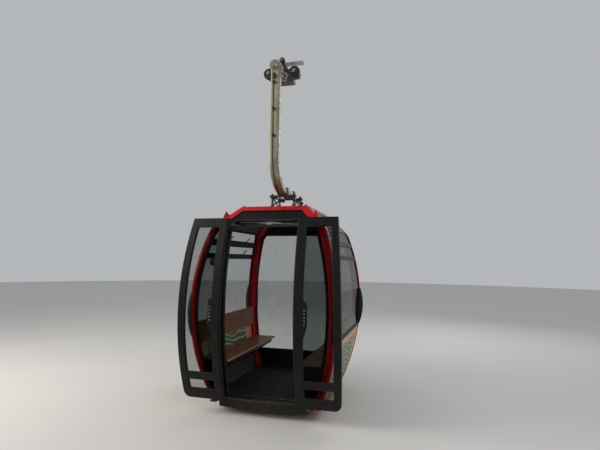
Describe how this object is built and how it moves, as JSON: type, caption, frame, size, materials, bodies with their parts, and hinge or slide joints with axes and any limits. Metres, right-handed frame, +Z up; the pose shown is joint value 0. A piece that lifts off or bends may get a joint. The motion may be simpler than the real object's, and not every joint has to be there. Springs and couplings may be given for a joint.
{
  "type": "cable car cabin",
  "caption": "Barrel-shaped cable car cabin with open sliding doors, two facing benches, a bent hanger arm and a detachable rope grip.",
  "frame": {"origin": "on the haul rope's axis at the middle of the grip's jaws", "axes": "+X along the rope and the way of travel, -Y the door side, +Z up"},
  "size_m": [1.7904, 2.0011, 4.146],
  "materials": {
    "frame_red": "gloss enamel",
    "wall_black": "satin",
    "leaf_black": "satin powder coat",
    "bumper_black": "moulded",
    "glass_clear": "polished",
    "printed_panel": "printed film",
    "floor_black": "textured",
    "floor_rubber": "ribbed",
    "bench_brown": "satin laminate",
    "lining_black": "matt",
    "dark_steel": "satin",
    "galvanised": "hot-dip galvanised",
    "cast_grey": "cast",
    "bare_steel": "machined",
    "bare_aluminium": "anodised",
    "roller_black": "moulded"
  },
  "bodies": {
    "grip": {"grip_body": "cast_grey", "jaw_pin": "bare_steel", "hanger_axle": "bare_steel", "drive_plate": "bare_aluminium"},
    "jaw": {"jaw": "cast_grey"},
    "lever_roller": {"lever_roller": "roller_black"},
    "roller_left": {"roller_left": "roller_black"},
    "roller_right": {"roller_right": "roller_black"},
    "carrier": {"back_frame": "wall_black", "back_glass": "glass_clear", "backrest_left": "bench_brown", "backrest_right": "bench_brown", "backrest_stays_left": "dark_steel", "backrest_stays_right": "dark_steel", "bench_bracket_left": "dark_steel", "bench_bracket_right": "dark_steel", "bench_seat_left": "bench_brown", "bench_seat_right": "bench_brown", "buffers": "floor_rubber", "cable_clips": "dark_steel", "ceiling": "lining_black", "control_cable": "bumper_black", "door_portal": "wall_black", "door_rail": "dark_steel", "end_frame_left": "wall_black", "end_frame_right": "wall_black", "end_glass_left": "glass_clear", "end_glass_right": "glass_clear", "end_panel_left": "printed_panel", "end_panel_right": "printed_panel", "floor_mat": "floor_rubber", "floor_pan": "floor_black", "floor_ring": "frame_red", "hanger_arm": "galvanised", "leaf_arms_left": "dark_steel", "leaf_arms_right": "dark_steel", "leaf_frame_left": "leaf_black", "leaf_frame_right": "leaf_black", "leaf_glass_left": "glass_clear", "leaf_glass_right": "glass_clear", "mast": "dark_steel", "post_back_left": "frame_red", "post_back_right": "frame_red", "post_bumpers": "bumper_black", "post_door_left": "frame_red", "post_door_right": "frame_red", "rail_bracket": "bare_aluminium", "roof_panel": "frame_red", "roof_ring": "frame_red", "side_glass": "glass_clear", "threshold": "floor_black", "vent_glass_left": "glass_clear", "vent_glass_right": "glass_clear"}
  },
  "joints": [
    {"name": "carrier_swing", "type": "hinge", "parent": "grip", "child": "carrier", "pos_m": [0, -0.5, -0.072], "axis": [0, 1, 0], "range_deg": [-30, 30]},
    {"name": "jaw_open", "type": "hinge", "parent": "grip", "child": "jaw", "pos_m": [0, -0.062, 0.052], "axis": [1, 0, 0], "range_deg": [0, 18], "stiffness_Nm_per_rad": 60, "springref_deg": -17.19},
    {"name": "lever_roller_spin", "type": "hinge", "parent": "jaw", "child": "lever_roller", "pos_m": [0, -0.27, 0.108], "axis": [0, 1, 0], "continuous": true},
    {"name": "roller_left_spin", "type": "hinge", "parent": "grip", "child": "roller_left", "pos_m": [-0.165, -0.285, -0.06], "axis": [0, 1, 0], "continuous": true},
    {"name": "roller_right_spin", "type": "hinge", "parent": "grip", "child": "roller_right", "pos_m": [0.165, -0.285, -0.06], "axis": [0, 1, 0], "continuous": true}
  ]
}
